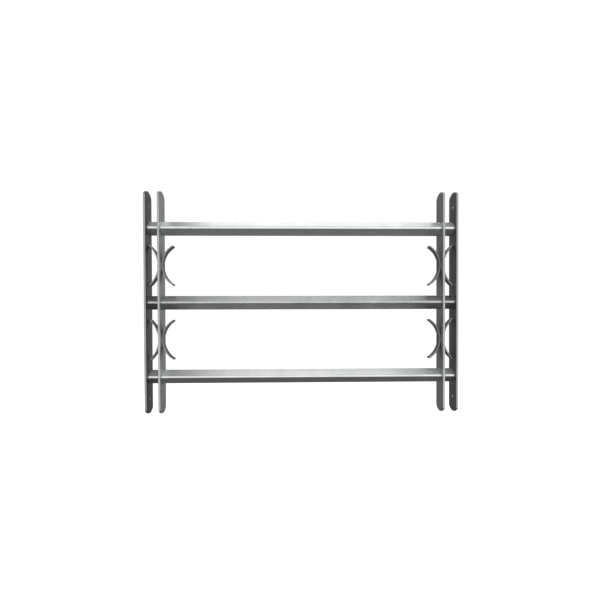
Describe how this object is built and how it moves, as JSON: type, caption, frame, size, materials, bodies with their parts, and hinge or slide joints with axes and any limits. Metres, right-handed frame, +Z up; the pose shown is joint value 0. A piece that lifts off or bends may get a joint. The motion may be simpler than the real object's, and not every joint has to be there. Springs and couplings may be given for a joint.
{
  "type": "telescopic window security grille",
  "caption": "Galvanised steel window grille with telescopic corner-up square crossbars, end uprights that screw to the reveals and sliding decorative uprights with C scrolls.",
  "frame": {"origin": "centre of the closed grille, on the middle crossbar's axis", "axes": "+X across the window to the right, +Y through the wall away from the viewer, +Z up"},
  "size_m": [0.63, 0.04, 0.45],
  "materials": {
    "sleeve_tube": "bright galvanised square tube, satin, faint lengthwise streaks",
    "slider_tube": "bright galvanised square tube, satin, rubbed by sliding",
    "flat_bar": "galvanised flat bar, grey, slightly mottled, sheared edges brighter",
    "scroll_strip": "galvanised bent strip, darker grey, satin"
  },
  "bodies": {
    "sleeves": {"top_sleeve": "sleeve_tube", "middle_sleeve": "sleeve_tube", "bottom_sleeve": "sleeve_tube"},
    "left_end_frame": {"left_end_upright": "flat_bar", "left_top_slider": "slider_tube", "left_middle_slider": "slider_tube", "left_bottom_slider": "slider_tube"},
    "left_decor": {"left_decor_upright": "flat_bar", "left_upper_outer_scroll": "scroll_strip", "left_upper_inner_scroll": "scroll_strip", "left_lower_outer_scroll": "scroll_strip", "left_lower_inner_scroll": "scroll_strip"},
    "right_end_frame": {"right_end_upright": "flat_bar", "right_top_slider": "slider_tube", "right_middle_slider": "slider_tube", "right_bottom_slider": "slider_tube"},
    "right_decor": {"right_decor_upright": "flat_bar", "right_upper_outer_scroll": "scroll_strip", "right_upper_inner_scroll": "scroll_strip", "right_lower_outer_scroll": "scroll_strip", "right_lower_inner_scroll": "scroll_strip"}
  },
  "joints": [
    {"name": "left_end_slide", "type": "slide", "parent": "sleeves", "child": "left_end_frame", "axis": [-1, 0, 0], "range_m": [0, 0.275]},
    {"name": "left_decor_slide", "type": "slide", "parent": "sleeves", "child": "left_decor", "axis": [1, 0, 0], "range_m": [0, 0.25]},
    {"name": "right_end_slide", "type": "slide", "parent": "sleeves", "child": "right_end_frame", "axis": [1, 0, 0], "range_m": [0, 0.275]},
    {"name": "right_decor_slide", "type": "slide", "parent": "sleeves", "child": "right_decor", "axis": [-1, 0, 0], "range_m": [0, 0.25]}
  ]
}
